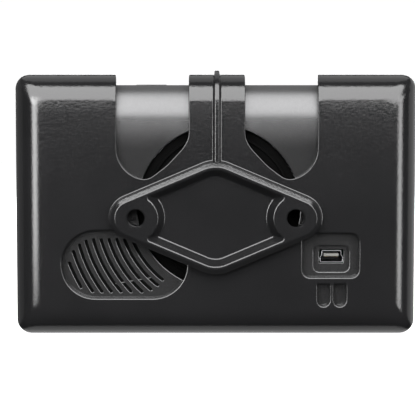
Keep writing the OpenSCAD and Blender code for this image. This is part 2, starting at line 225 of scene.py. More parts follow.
def arcs(parts, n=10, line=None):
    """A closed loop of points with outward normals, along arcs joined by straight lines.
    A part is (centre, centre, radius, from, to); a radius below 0 is a hollow arc."""
    out = []
    for cx, cz, r, a0, a1 in parts:
        k = 1 if r > 0 else -1
        run = []
        for i in range(n + 1):
            a = radians(a0 + (a1 - a0) * i / n)
            run.append((cx + abs(r) * cos(a), cz + abs(r) * sin(a), k * cos(a), k * sin(a)))
        out.append(run)
    made = []
    for i, run in enumerate(out):
        made += run
        p, q = run[-1], out[(i + 1) % len(out)][0]
        length = math.hypot(q[0] - p[0], q[1] - p[1])
        if length < 1e-6:
            made.pop()
            continue
        m = line or max(1, round(length / 2.5))
        for k in range(1, m):
            t = k / m
            made.append(tuple(p[j] + (q[j] - p[j]) * t for j in range(4)))
    return made


def off(path, d):
    return [(p[0] + p[2] * d, p[1] + p[3] * d) for p in path]


def flat(path, d, y):
    return [(p[0] + p[2] * d, y, p[1] + p[3] * d) for p in path]


def stadium(w, h, cx, cz, n=20):
    r, e = h / 2, (w - h) / 2
    return arcs([(cx + e, cz, r, 90, -90), (cx - e, cz, r, 270, 90)], n)


def round_rect(w, h, r, cx=0.0, cz=0.0, n=6, line=None):
    a, b = w / 2 - r, h / 2 - r
    return arcs([(cx + a, cz + b, r, 90, 0), (cx + a, cz - b, r, 0, -90),
                 (cx - a, cz - b, r, 270, 180), (cx - a, cz + b, r, 180, 90)], n, line)


def circle(cx, cz, r, n=48):
    return [(cx + r * cos(2 * pi * i / n), cz + r * sin(2 * pi * i / n),
             cos(2 * pi * i / n), sin(2 * pi * i / n)) for i in range(n)]


def round_corners(pts, radii, n=5):
    """A chain of points with its corners rounded."""
    out = [pts[0]]
    for i in range(1, len(pts) - 1):
        r = radii[i - 1] if isinstance(radii, (list, tuple)) else radii
        p, a, b = Vector(pts[i]), Vector(pts[i - 1]), Vector(pts[i + 1])
        u, v = (a - p).normalized(), (b - p).normalized()
        half = u.angle(v) / 2
        if r <= 0 or half > pi / 2 - 0.01:
            out.append(tuple(p))
            continue
        t = min(r / math.tan(half), 0.48 * (a - p).length, 0.48 * (b - p).length)
        r = t * math.tan(half)
        centre = p + (u + v).normalized() * (r / sin(half))
        s, e = p + u * t - centre, p + v * t - centre
        turn = s.angle_signed(e) if len(p) == 2 else 0
        for k in range(n + 1):
            a_ = -turn * k / n
            out.append((centre.x + s.x * cos(a_) - s.y * sin(a_),
                        centre.y + s.x * sin(a_) + s.y * cos(a_)))
    out.append(pts[-1])
    return out


def soften(pts, step, span):
    """A polyline resampled evenly and smoothed, its two ends kept, with normals on its left."""
    length = [0.0]
    for a, b in zip(pts, pts[1:]):
        length.append(length[-1] + math.hypot(b[0] - a[0], b[1] - a[1]))
    n = round(length[-1] / step)
    even, k = [], 0
    for i in range(n + 1):
        d = length[-1] * i / n
        while k < len(pts) - 2 and d > length[k + 1]:
            k += 1
        t = (d - length[k]) / (length[k + 1] - length[k])
        even.append(tuple(pts[k][j] + (pts[k + 1][j] - pts[k][j]) * t for j in (0, 1)))
    reach = round(span / step / 2)
    for _ in range(2):
        made = []
        for i in range(n + 1):
            w = min(reach, i, n - i)
            run = even[i - w:i + w + 1]
            made.append(tuple(sum(p[j] for p in run) / len(run) for j in (0, 1)))
        even = made
    out = []
    for i, p in enumerate(even):
        a, b = even[max(i - 1, 0)], even[min(i + 1, n)]
        tx, tz = b[0] - a[0], b[1] - a[1]
        k = math.hypot(tx, tz)
        out.append((p[0], p[1], -tz / k, tx / k))
    return out


def fillet(r, n=5):
    """Steps round an outside edge: how far back from the edge, and how deep."""
    return [(r * (1 - sin(pi / 2 * k / n)), r * (1 - cos(pi / 2 * k / n))) for k in range(n + 1)]


def window(shape, path, y0, y1, r0, r1, n=5):
    """The wall of a hole between two faces, with rounded edges. Gives the loop left in each face."""
    rings = [flat(path, o, y0 + d) for o, d in fillet(r0, n)]
    if r1 > 0:
        rings += [flat(path, o, y1 - d) for o, d in reversed(fillet(r1, 3))]
    else:
        rings.append(flat(path, 0, y1))
    shape.rings(rings, closed=True)
    return off(path, r0), off(path, r1)


# ---- materials ----

MADE = {}


def nodes_of(name, colour, rough, metallic=0.0):
    mat = bpy.data.materials.new(name)
    mat.use_nodes = True
    tree = mat.node_tree
    bsdf = tree.nodes["Principled BSDF"]
    bsdf.inputs["Base Color"].default_value = (*colour, 1)
    bsdf.inputs["Roughness"].default_value = rough
    bsdf.inputs["Metallic"].default_value = metallic
    mat.diffuse_color = (*colour, 1)
    return mat, tree, bsdf


def node(tree, kind, **values):
    made = tree.nodes.new(kind)
    for k, v in values.items():
        if hasattr(made, k):
            setattr(made, k, v)
        else:
            made.inputs[k.replace("_", " ")].default_value = v
    return made


def noise(tree, scale, detail=3.0, rough=0.5, stretch=None):
    where = tree.nodes.new("ShaderNodeTexCoord")
    made = node(tree, "ShaderNodeTexNoise", Scale=scale, Detail=detail, Roughness=rough)
    if stretch:
        mapping = tree.nodes.new("ShaderNodeMapping")
        mapping.inputs["Scale"].default_value = stretch
        tree.links.new(where.outputs["Object"], mapping.inputs["Vector"])
        tree.links.new(mapping.outputs["Vector"], made.inputs["Vector"])
    else:
        tree.links.new(where.outputs["Object"], made.inputs["Vector"])
    return made.outputs["Fac"]


def spread(tree, value, low, high, a=0.3, b=0.7):
    made = node(tree, "ShaderNodeMapRange")
    for k, v in zip(("From Min", "From Max", "To Min", "To Max"), (a, b, low, high)):
        made.inputs[k].default_value = v
    tree.links.new(value, made.inputs["Value"])
    return made.outputs["Result"]


def tint(tree, bsdf, value, dark, light, a=0.3, b=0.7):
    ramp = node(tree, "ShaderNodeValToRGB")
    ramp.color_ramp.elements[0].position, ramp.color_ramp.elements[1].position = a, b
    ramp.color_ramp.elements[0].color = (*dark, 1)
    ramp.color_ramp.elements[1].color = (*light, 1)
    tree.links.new(value, ramp.inputs["Fac"])
    tree.links.new(ramp.outputs["Color"], bsdf.inputs["Base Color"])


def bump(tree, bsdf, value, height, strength=1.0):
    made = node(tree, "ShaderNodeBump", Strength=strength, Distance=height)
    tree.links.new(value, made.inputs["Height"])
    tree.links.new(made.outputs["Normal"], bsdf.inputs["Normal"])


def simple(name, colour, rough, metallic=0.0, scale=900, vary=0.15, height=2e-5, stretch=None,
           rough_vary=0.08, specular=None, coat=0.0):
    """A finish with its own grain: colour, roughness and bump all from noise."""
    mat, tree, bsdf = nodes_of(name, colour, rough, metallic)
    fine = noise(tree, scale, 4, 0.6, stretch)
    broad = noise(tree, scale / 12, 3)
    light = [min(1, c * (1 + vary)) for c in colour]
    tint(tree, bsdf, broad, [c * (1 - vary) for c in colour], light)
    dull = spread(tree, fine, rough - rough_vary, rough + rough_vary)
    tree.links.new(dull, bsdf.inputs["Roughness"])
    if height:
        bump(tree, bsdf, fine, height)
    if specular is not None:
        bsdf.inputs["Specular IOR Level"].default_value = specular
    if coat:
        bsdf.inputs["Coat Weight"].default_value = coat
        bsdf.inputs["Coat Roughness"].default_value = 0.08
    return mat


def cradle_plastic():
    """Black moulded plastic with a fine spark-eroded grain."""
    colour = (0.0065, 0.0065, 0.0068)
    mat, tree, bsdf = nodes_of("cradle_plastic", colour, 0.15)
    grain = noise(tree, 1350, 4, 0.7)
    broad = noise(tree, 60, 3)
    tint(tree, bsdf, broad, [c * 0.92 for c in colour], [c * 1.1 for c in colour])
    tree.links.new(spread(tree, grain, 0.09, 0.14), bsdf.inputs["Roughness"])
    bump(tree, bsdf, grain, 8e-5, 0.5)
    bsdf.inputs["Specular IOR Level"].default_value = 0.5
    return mat


def housing_grey():
    """Satin dark grey paint with a fine metal flake."""
    colour = (0.076, 0.076, 0.077)
    mat, tree, bsdf = nodes_of("housing_grey", colour, 0.17, 0.85)
    flake = noise(tree, 5200, 2, 0.5)
    broad = noise(tree, 45, 2)
    tint(tree, bsdf, flake, [c * 0.86 for c in colour], [c * 1.18 for c in colour])
    # the paint is duller towards the top
    where = tree.nodes.new("ShaderNodeTexCoord")
    axes = tree.nodes.new("ShaderNodeSeparateXYZ")
    tree.links.new(where.outputs["Object"], axes.inputs["Vector"])
    total = node(tree, "ShaderNodeMath", operation="ADD")
    tree.links.new(spread(tree, broad, -0.02, 0.02), total.inputs[0])
    tree.links.new(spread(tree, axes.outputs["Z"], 0.14, 0.40, 0.021, 0.037), total.inputs[1])
    tree.links.new(total.outputs["Value"], bsdf.inputs["Roughness"])
    bump(tree, bsdf, flake, 1.2e-5, 0.5)
    return mat


# Plain finishes: colour, roughness, metal, grain scale, and what else differs from simple()
FINISHES = {
    "dock_black": ((0.0007, 0.0007, 0.0007), 0.8, 0, 2200, dict(height=1e-5, specular=0.03)),
    "mesh_black": ((0.002, 0.002, 0.002), 0.8, 0, 3000, dict(height=8e-5, specular=0.05)),
    "bezel_black": ((0.012, 0.012, 0.0125), 0.28, 0, 2400, dict(height=6e-6)),
    "lens_glass": ((0.004, 0.0045, 0.005), 0.07, 0, 40, dict(height=0, rough_vary=0.02)),
    "tape_black": ((0.01, 0.01, 0.01), 0.7, 0, 1500, dict(height=4e-5)),
    "display": ((0.012, 0.014, 0.018), 0.15, 0, 300, dict(height=2e-6)),
    "diffuser": ((0.75, 0.77, 0.78), 0.5, 0, 700, dict(height=1e-5)),
    "plated_steel": ((0.55, 0.56, 0.57), 0.3, 1.0, 400, dict(height=6e-6, stretch=(1, 1, 8))),
    "frame_metal": ((0.33, 0.34, 0.35), 0.45, 0.9, 900, dict()),
    "board_green": ((0.012, 0.09, 0.035), 0.35, 0, 500, dict(vary=0.25, coat=0.4)),
    "chip_black": ((0.012, 0.012, 0.013), 0.55, 0, 2600, dict(height=3e-5)),
    "antenna_board": ((0.62, 0.57, 0.42), 0.5, 0, 800, dict()),
    "copper": ((0.72, 0.36, 0.18), 0.3, 1.0, 900, dict()),
    "ceramic": ((0.52, 0.47, 0.36), 0.6, 0, 1200, dict(vary=0.2)),
    "cable_black": ((0.015, 0.015, 0.016), 0.45, 0, 1800, dict()),
    "battery_foil": ((0.4, 0.41, 0.42), 0.35, 0.9, 260, dict(height=4e-5)),
    "tape_white": ((0.6, 0.59, 0.56), 0.65, 0, 1500, dict()),
    "wire_red": ((0.4, 0.015, 0.012), 0.4, 0, 1500, dict()),
    "plug_cream": ((0.7, 0.66, 0.55), 0.45, 0, 1200, dict()),
    "cone_paper": ((0.02, 0.02, 0.021), 0.8, 0, 1600, dict(height=6e-5)),
    "magnet_steel": ((0.3, 0.31, 0.32), 0.35, 1.0, 900, dict()),
    "socket_steel": ((0.13, 0.13, 0.135), 0.2, 1.0, 1600, dict(height=2e-6, stretch=(1, 6, 1))),
    "socket_tongue": ((0.09, 0.088, 0.082), 0.5, 0, 2200, dict()),
    "gold": ((0.3, 0.2, 0.08), 0.3, 1.0, 1800, dict(height=4e-6)),
    "button_grey": ((0.02, 0.02, 0.022), 0.38, 0, 2400, dict()),
    "screw_steel": ((0.3, 0.31, 0.32), 0.35, 1.0, 1500, dict()),
    "flex_amber": ((0.42, 0.16, 0.02), 0.35, 0, 700, dict(coat=0.3)),
}
OWN = {"cradle_plastic": cradle_plastic, "housing_grey": housing_grey}


def material(slot):
    if slot not in MADE:
        if slot in OWN:
            MADE[slot] = OWN[slot]()
        else:
            colour, rough, metallic, scale, extra = FINISHES[slot]
            MADE[slot] = simple(slot, colour, rough, metallic, scale, **extra)
    return MADE[slot]


# ---- sizes taken from the frame ----

def box(name):
    lo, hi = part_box(name)
    return [c * 1000 for c in lo], [c * 1000 for c in hi]


c_lo, c_hi = box("cradle_shell")
HALF_W, FOOT, TOP, LIP_Y = c_hi[0], c_lo[2], c_hi[2], c_hi[1]
# the cradle's back, wall, bends, corners and rim, and the round on its cut edges
BACK, WALL, BEND, CORNER, RIM = 4.0, 2.2, 8.5, 4.5, 20.0
INNER = BACK + WALL
FLAT_TOP = TOP - BEND
EDGE = 0.26
# the latch tongue's middle and half width, its seam, and the notches on both sides of it
LATCH_X, TONGUE, SEAM = 0.4, 8.65, 18.7
NOTCH, FLOOR, LOW_R = 30.85, 11.6, 9.7
# the boss: its ears, its points, its sloping shoulder and how far its wall stands in
EAR_X, EAR_END, EAR_R, POINT_Z, POINT_R = 24.3, 25.45, 7.1, 6.5, 11.0
DRAFT, SHOULDER, WAIST = 1.9, 1.0, 0.4
TILT = math.atan2(POINT_Z, EAR_END) + math.asin((POINT_R - EAR_R) / math.hypot(EAR_END, POINT_Z))
BOLT_R, NUT_R, NUT_Y, BOSS_END = 2.6, 4.65, 3.0, 6.0
# windows and what shows through them: centres, with sizes where two pieces share them
SPEAKER, SPEAKER_SIZE = (-28.1, -14.4), (38.5, 20.9)
USB_WINDOW, USB_WINDOW_SIZE = (35.3, -11.6), (17.4, 13.6)
USB, USB_RECESS = (35.85, -12.2), (35.75, -12.85)
DOCK, DOCK_R = (1.0, 3.1), 25.1
BUTTON = (-20, 14.8)

u_lo, u_hi = box("rear_cover")
U_W, U_TOP, U_LOW = u_hi[0], u_hi[2], u_lo[2]
U_BACK, U_SPLIT, SKIN, U_BEND = u_lo[1], u_hi[1], 1.8, 6.2
U_MID = (U_TOP + U_LOW) / 2
U_IN = U_BACK + SKIN
DOME = 10.5  # how far down the bend along the unit's top reaches
GLASS = box("front_bezel")[1][1]
LENS_W, LENS_H = 111.9, 67.7  # the opening for the screen's glass


def sections(bend, wall, y0, rim_y, rim_r, mids, n=12):
    """Both halves of a tray wall's section, flat back to rim: (inset, depth, inward normal)."""
    outer, inner = [], []
    for k in range(n + 1):
        a, q = pi / 2 * k / n, bend - wall
        outer.append((bend - bend * sin(a), y0 + bend - bend * cos(a), sin(a), cos(a)))
        inner.append((bend - q * sin(a), y0 + bend - q * cos(a), -sin(a), -cos(a)))
    for y in [*mids, rim_y - rim_r]:
        outer.append((0.0, y, 1.0, 0.0))
        inner.append((wall, y, -1.0, 0.0))
    for k in range(1, 5):
        a = pi / 2 * k / 4
        y = rim_y - rim_r + rim_r * sin(a)
        outer.append((rim_r - rim_r * cos(a), y, cos(a), -sin(a)))
        inner.append((wall - rim_r + rim_r * cos(a), y, -cos(a), -sin(a)))
    return outer, inner


def outline(half_w, low, top, s, corner, x0, x1, least=3.4, n=8):
    """A rounded outline drawn in by s, from x0 on the top clockwise round to x1 on the top."""
    r = max(corner - s, least)
    l, b, t = half_w - s, low + s, top - s
    out = []

    def line(p, q, m):
        out.extend((p[0] + (q[0] - p[0]) * i / m, p[1] + (q[1] - p[1]) * i / m) for i in range(m))

    def turn(cx, cz, a0):
        out.extend((cx + r * cos(radians(a0 - 90 * i / n)), cz + r * sin(radians(a0 - 90 * i / n)))
                   for i in range(n))

    line((x0, t), (l - r, t), 8)
    turn(l - r, t - r, 90)
    line((l, t - r), (l, b + r), 20)
    turn(l - r, b + r, 0)
    line((l - r, b), (r - l, b), 30)
    turn(r - l, b + r, 270)
    line((-l, b + r), (-l, t - r), 20)
    turn(r - l, t - r, 180)
    line((r - l, t), (x1, t), 8)
    out.append((x1, t))
    return out


# ---- cradle ----

def notch_line():
    """The right-hand notch, from the shoulder down, along its floor and up the tongue."""
    pts = [(NOTCH, FLAT_TOP), (NOTCH, FLOOR + LOW_R)]
    for k in range(1, 15):
        a = radians(-6 * k)
        pts.append((NOTCH - LOW_R + LOW_R * cos(a), FLOOR + LOW_R + LOW_R * sin(a)))
    pts += [(20.6, 12.0), (15.5, 15.85), (10.3, 21.4), (TONGUE, 24.4), (TONGUE, FLAT_TOP)]
    return soften(pts, 0.3, 2.6)


LINE = notch_line()
LOWEST = min(range(len(LINE)), key=lambda i: LINE[i][1])
CUT = next(i for i in range(LOWEST, len(LINE)) if LINE[i][1] >= SEAM)


def flare(y):
    """How far the notch's ends open by depth y."""
    return 0.085 * max(y - INNER, 0.0)


def edge_points(flat_part, side, stations_out, stations_in, x_edge, nx, draft=0.0):
    """A cut edge on both skins: (x, y, z, across x, across z, inward y, inward z)."""
    outer = [(LATCH_X + side * p[0], BACK, p[1], side * p[2], p[3], 1.0, 0.0) for p in flat_part]
    inner = [(LATCH_X + side * p[0], INNER, p[1], side * p[2], p[3], -1.0, 0.0) for p in flat_part]
    for y, z, ny, nz in stations_out:
        outer.append((LATCH_X + side * (x_edge + draft * flare(y)), y, z, side * nx, 0.0, ny, nz))
    for y, z, ny, nz in stations_in:
        inner.append((LATCH_X + side * (x_edge + draft * flare(y)), y, z, side * nx, 0.0, ny, nz))
    return outer, inner


def edge_rings(outer, inner, r):
    made = []
    for o, d in fillet(r):
        place = lambda p: (p[0] + p[3] * o, p[1] + p[5] * d, p[2] + p[4] * o + p[6] * d)
        made.append(([place(p) for p in outer], [place(p) for p in inner]))
    return made


def cut_edges(shape, *edge):
    """Rounded edges and the wall between the two skins, on the right and on the left."""
    flat_part, *rest = edge
    sides = []
    for side in (1, -1):
        rings = edge_rings(*edge_points(flat_part, side, *rest), EDGE)
        ids = [(shape.points(o), shape.points(i)) for o, i in rings]
        for (o0, i0), (o1, i1) in zip(ids, ids[1:]):
            shape.strip(o0 + i0[::-1], o1 + i1[::-1])
        shape.strip(*ids[-1])
        sides.append(rings)
    return sides


def seam_cap(shape, right, left, n=8):
    """Closes a piece across the seam. Gives the seam's points on the outer and inner skins."""
    loop = [r[0][0] for r in right] + [r[1][0] for r in right[::-1]]
    back = [r[1][0] for r in left] + [r[0][0] for r in left[::-1]]
    inner = spaced(right[0][1][0], left[0][1][0], n)
    outer = spaced(left[0][0][0], right[0][0][0], n)
    ring = loop + inner[1:-1] + back + outer[1:-1]
    shape.close(shape.points(ring), [p[:2] for p in ring])
    return outer, inner


def spaced(a, b, n):
    return [tuple(a[k] + (b[k] - a[k]) * i / n for k in range(3)) for i in range(n + 1)]


def slit(cx, low, top, r):
    return arcs([(cx, low, r, 0, -180), (cx - r + 0.4, top - 0.4, 0.4, 180, 90),
                 (cx + r - 0.4, top - 0.4, 0.4, 90, 0)], 8)


def make_cradle():
    """The wrap-round tray, with its notches, windows and slits."""
    shape = Shape()
    outer, inner = sections(BEND, WALL, BACK, RIM, 0.6, [14.5, 17.0])
    x0, x1 = LATCH_X + NOTCH + EDGE, LATCH_X - NOTCH - EDGE
    shape.rings([[(x, y, z) for x, z in outline(HALF_W, FOOT, TOP, s, CORNER, x0 + flare(y), x1 - flare(y))]
                 for s, y, _, _ in outer + inner[::-1]])
    up = lambda half: [(y, TOP - s, ny, -ns) for s, y, ns, ny in half[1:]]
    part = LINE[:CUT + 1][::-1]
    sides = cut_edges(shape, part, up(outer), up(inner), NOTCH, 1.0, 1.0)
    seam_out, seam_in = seam_cap(shape, *sides)
    n = len(part)
    holes = [window(shape, p, BACK, INNER, 0.42, 0.2) for p in (
        stadium(*SPEAKER_SIZE, *SPEAKER, 24), round_rect(*USB_WINDOW_SIZE, 2.5, *USB_WINDOW, 8),
        slit(33.2, -25.45, -20.45, 1.9), slit(38.2, -25.45, -20.45, 1.9))]
    holes += [window(shape, circle(k * EAR_X, 0, 3.2), BACK, INNER, 0, 0, 1) for k in (-1, 1)]
    for skin, seam, y in ((0, seam_out, BACK), (1, seam_in, INNER)):
        half = (outer, inner)[skin][0]
        border = outline(HALF_W, FOOT, TOP, half[0], CORNER, x0, x1)
        left = [(p[0], p[2]) for p in sides[1][0][skin][:n]][::-1]
        right = [(p[0], p[2]) for p in sides[0][0][skin][:n]]
        across = [(p[0], p[2]) for p in (seam if skin == 0 else seam[::-1])]
        loop = border + left[1:] + across[1:-1] + right[:-1]
        shape.cap([loop] + [h[skin] for h in holes], y)
    shape.build("cradle_body", "root", "cradle_plastic", ["cradle_shell"])


def make_lip():
    """The sill in front of the cradle's foot."""
    shape = Shape()
    z0, z1 = FOOT - 0.02, FOOT + WALL + 0.02
    section = round_corners([(18.3, z0), (LIP_Y, z0), (LIP_Y, z1 + 2.2), (LIP_Y - 1.7, z1 + 2.2),
                             (LIP_Y - 1.7, z1), (18.3, z1)], [0.6, 0.6, 0.5, 0.35], 4)
    stations = ((-45, 0.4), (-44.6, 0), (-30, 0), (-15, 0), (0, 0), (15, 0), (30, 0), (44.6, 0), (45, 0.4))
    ids = shape.rings([[(x, y, z) for y, z in inset(section, d)] for x, d in stations], closed=True)
    for end in (ids[0], ids[-1]):
        shape.close(end, [shape.v[i][1:] for i in end])
    shape.build("cradle_sill", "root", "cradle_plastic")


def inset(pts, d):
    """A closed section drawn in by d."""
    if not d:
        return list(pts)
    area = sum(a[0] * b[1] - b[0] * a[1] for a, b in zip(pts, pts[1:] + pts[:1]))
    k = 1 if area > 0 else -1
    out = []
    for i, p in enumerate(pts):
        a, b = pts[i - 1], pts[(i + 1) % len(pts)]
        n = Vector((-(b[1] - a[1]), b[0] - a[0])).normalized() * (d * k)
        out.append((p[0] + n.x, p[1] + n.y))
    return out


def tongue_stations():
    """The tongue's section above its flat: over the bend, along the top and down the hook."""
    outer, inner = [], []
    for k in range(1, 13):
        a, q = pi / 2 * k / 12, BEND - WALL
        outer.append((BACK + BEND - BEND * cos(a), FLAT_TOP + BEND * sin(a)))
        inner.append((BACK + BEND - q * cos(a), FLAT_TOP + q * sin(a)))
    end = GLASS + 1.6
    low = TOP - WALL
    for y in (15.0, 18.0, 21.0):
        outer.append((y, TOP))
        inner.append((y, low))
    for k in range(6):
        a = pi / 2 * k / 5
        outer.append((end - 1.2 + 1.2 * sin(a), TOP - 1.2 + 1.2 * cos(a)))
        inner.append((end - 2.5 + 0.5 * sin(a), low - 0.5 + 0.5 * cos(a)))
    for z0, z1, y in ((low - 0.2, low - 0.8, end), (low - 0.9, low - 1.2, end - 0.3),
                      (low - 1.6, low - 1.6, end - 0.8), (low - 2.15, low - 2.0, end - 1.25),
                      (low - 2.38, low - 2.3, end - 1.5)):
        outer.append((y, z0))
        inner.append((end - 2.0 + (0.15 if z1 < low - 2.2 else 0), z1))
    loop = [(BACK, FLAT_TOP)] + outer + inner[::-1] + [(INNER, FLAT_TOP)]
    made = []
    for i in range(1, len(loop) - 1):
        a, b = loop[i - 1], loop[i + 1]
        n = Vector((b[1] - a[1], -(b[0] - a[0]))).normalized()
        thin = 0.35 if loop[i][1] < low - 1.3 and loop[i][0] > GLASS - 1 else 1.0
        made.append((*loop[i], n.x * thin, n.y * thin))
    return made[:len(outer)], made[len(outer):][::-1]


# root and latch, and two points up the tongue, in metres; build() only uses them to leave the piece
# unattached, its transform baked
BENDS = ("root", "latch", (LATCH_X * 0.001, 0.005, 0.0188), (LATCH_X * 0.001, 0.005, 0.030))


def make_tongue():
    """The latch: one bent sheet from its root over the unit's top, ending in a hook."""
    shape = Shape()
    up, under = tongue_stations()
    sides = cut_edges(shape, LINE[CUT:], up, under, TONGUE, -1.0)
    seam_cap(shape, *sides)
    right = sides[0][0][0] + sides[0][0][1][::-1]
    left = sides[1][0][0] + sides[1][0][1][::-1]
    rows = [spaced(l, r, 8) for l, r in zip(left, right)]
    shape.rings(rows)
    shape.build("latch_arm", "latch", "cradle_plastic", ["latch_tongue"], blend=BENDS)


def make_rib():
    """Stiffening rib from the boss up over the tongue's top."""
    shape = Shape()
    h0 = 1.3
    heights = (15.2, 16, 16.8, 17.6, SEAM, 20, 22, 24, 26, 28, 30, 32, 34)
    rows = [((BACK, z), (BACK - h0, z)) for z in heights]
    for k in range(13):
        a = pi / 2 * k / 12
        rows.append(((BACK + BEND - BEND * cos(a), FLAT_TOP + BEND * sin(a)),
                     (BACK + BEND - (BEND + h0) * cos(a), FLAT_TOP + (BEND + h0) * sin(a))))
    crest = TOP + h0
    # the rib runs out along the tongue's top
    run_out = ((13.6, 12.6, 0), (14.6, 14.0, 0), (15.4, 15.0, 0.3), (16.3, 16.1, 0.75),
               (17.2, 17.1, 1.2), (17.7, 17.6, 1.33))
    rows += [((y0, TOP), (y1, crest - drop)) for y0, y1, drop in run_out]
    rings = []
    for base, tip in rows:
        h = math.hypot(tip[0] - base[0], tip[1] - base[1])
        uy, uz = (tip[0] - base[0]) / h, (tip[1] - base[1]) / h
        foot = min(0.75, 0.5 * h)
        top = min(0.4, 0.32 * h)
        half = 0.85
        sect = [(half + foot + 0.1, -0.5), (half + foot, -0.03)]
        sect += [(half + foot - foot * sin(pi / 2 * k / 5), foot - foot * cos(pi / 2 * k / 5))
                 for k in range(1, 6)]
        sect.append((half, 0.5 * (foot + h - top)))
        sect += [(half - top + top * cos(pi / 2 * k / 4), h - top + top * sin(pi / 2 * k / 4))
                 for k in range(5)]
        full = [(-a, b) for a, b in sect] + [(a, b) for a, b in sect[::-1]]
        rings.append([(LATCH_X + a, base[0] + uy * b, base[1] + uz * b) for a, b in full])
    ids = shape.rings(rings, closed=True)
    for end in (ids[0], ids[-1]):
        m = len(end) // 2
        for i in range(m - 1):
            shape.face((end[i], end[i + 1], end[-2 - i], end[-1 - i]))
    shape.build("latch_rib", "latch", "cradle_plastic", blend=BENDS)


def diamond():
    """The boss outline."""
    t = math.degrees(TILT)
    return arcs([(0, POINT_Z, POINT_R, 90 + t, 90 - t), (EAR_END, 0, EAR_R, 90 - t, t - 90),
                 (0, -POINT_Z, POINT_R, t - 90, -90 - t), (-EAR_END, 0, EAR_R, 270 - t, 90 + t)], 14, 14)


def pocket(d, pad, q):
    """The pocket between the ears: side walls d inside the boss outline, pads of radius pad."""
    t = math.degrees(TILT)
    s, c = sin(TILT), cos(TILT)
    rp = POINT_R - d
    k = c * POINT_Z + rp - q
    # centre of the small corner between side wall and pad: on the line s*x + c*z = k
    px, pz = s * k, c * k
    dx, dz = c, -s
    ex, ez = px - EAR_X, pz
    b = ex * dx + ez * dz
    f = ex * ex + ez * ez - (pad + q) ** 2
    w = -b - math.sqrt(b * b - f)
    fx, fz = px + dx * w, pz + dz * w
    toward = math.degrees(math.atan2(-fz, EAR_X - fx))
    pad_a = math.degrees(math.atan2(fz, fx - EAR_X))
    return arcs([
        (0, POINT_Z, rp, 90 + t, 90 - t),
        (fx, fz, q, 90 - t, toward),
        (EAR_X, 0, -pad, pad_a, 360 - pad_a),
        (fx, -fz, q, -toward, t - 90),
        (0, -POINT_Z, rp, t - 90, -90 - t),
        (-fx, -fz, q, 270 - t, 180 + toward),
        (-EAR_X, 0, -pad, pad_a - 180, 180 - pad_a),
        (-fx, fz, q, 180 - toward, 90 + t),
    ], 10, 14)


def over_window(p):
    """1 where a point of the boss outline stands on the cradle's back, 0 over a window in it."""
    w, h = SPEAKER_SIZE
    x, z = p[0], p[1]
    speaker = math.hypot(max(abs(x - SPEAKER[0]) - (w - h) / 2, 0), z - SPEAKER[1]) - h / 2
    a, b = abs(x - USB_WINDOW[0]) - USB_WINDOW_SIZE[0] / 2, abs(z - USB_WINDOW[1]) - USB_WINDOW_SIZE[1] / 2
    return min(max((min(speaker, max(a, b)) + 0.1) / 0.9, 0.0), 1.0)


def boss_wall(base):
    """Rings from the boss's end inside the cradle, up its wall and shoulder to its crest."""
    foot_r, shoulder_r, crest_r = 0.8, 0.7, 0.55
    foot = [over_window(p) for p in base]
    rings = [flat(base, -WAIST, BOSS_END)]
    for k in range(5):
        # quarter turn from the flat back up the wall, none where the wall stands over an opening
        a = pi / 2 * k / 4
        rings.append([(p[0] + p[2] * (foot_r * f * (1 - sin(a)) - WAIST),
                       BACK + 0.04 - foot_r * f * (1 - cos(a)),
                       p[1] + p[3] * (foot_r * f * (1 - sin(a)) - WAIST)) for p, f in zip(base, foot)])
    slope = math.atan2(SHOULDER, DRAFT - WAIST)
    t0 = shoulder_r * math.tan((pi / 2 - slope) / 2)
    for k in range(6):
        a = (pi / 2 - slope) * k / 5
        rings.append(flat(base, shoulder_r * (cos(a) - 1) - WAIST, SHOULDER + t0 - shoulder_r * sin(a)))
    crest = DRAFT + crest_r * math.tan(slope / 2)
    for k in range(6):
        a = slope * (1 - k / 5)
        rings.append(flat(base, crest_r * sin(a) - crest, crest_r * (1 - cos(a))))
    return rings, off(base, -crest)


def pocket_wall(depth, r=0.6):
    """Rings down the pocket's sloping wall, rounded by r at its lip and its floor."""
    lip, floor = pocket(2.78, 6.85, 0.8), pocket(4.72, 8.67, 0.38)
    slope = math.atan2(1.9, depth)
    t = r * math.tan((pi / 2 - slope) / 2)
    top, low = [], []
    for k in range(6):
        a = (pi / 2 - slope) * k / 5
        top.append(flat(lip, t - r * sin(a), r * (1 - cos(a))))
    for k in range(6):
        a = (pi / 2 - slope) * (1 - k / 5)
        low.append(flat(floor, -t + r * sin(a), depth - r * (1 - cos(a))))
    mids = [[tuple(a[j] + (b[j] - a[j]) * w for j in range(3)) for a, b in zip(top[-1], low[0])]
            for w in (0.33, 0.66)]
    return top + mids + low


def make_boss():
    """Diamond mounting boss: a pocket between two ears, each with a bolt hole and a nut behind."""
    shape = Shape()
    depth = 2.8
    base = diamond()
    wall, top_loop = boss_wall(base)
    shape.rings(wall, closed=True)
    dip = pocket_wall(depth)
    shape.rings(dip, closed=True)
    lip_loop, floor_loop = ([(p[0], p[2]) for p in ring] for ring in (dip[0], dip[-1]))
    holes, hexes = [], []
    for k in (-1, 1):
        bolt = lambda r: circle(k * EAR_X, 0, r)
        hexagon = off(circle(k * EAR_X, 0, NUT_R, 6), 0)
        shape.rings([flat(bolt(r), 0, y) for r, y in ((3.02, 0), (2.98, 0.03), (2.63, 0.38), (BOLT_R, 0.45),
                                                      (BOLT_R, 1.7), (BOLT_R, NUT_Y))], closed=True)
        holes.append(off(bolt(3.02), 0))
        shape.cap([hexagon, off(bolt(BOLT_R), 0)], NUT_Y, 0)
        shape.rings([[(x, y, z) for x, z in hexagon] for y in (NUT_Y, BOSS_END)], closed=True)
        hexes.append(hexagon)
    shape.cap([top_loop, lip_loop] + holes, 0.0, 2.0)
    shape.cap([floor_loop], depth)
    shape.cap([off(base, -WAIST)] + hexes, BOSS_END, 4.0)
    shape.build("cradle_boss", "root", "cradle_plastic")


# ---- unit ----

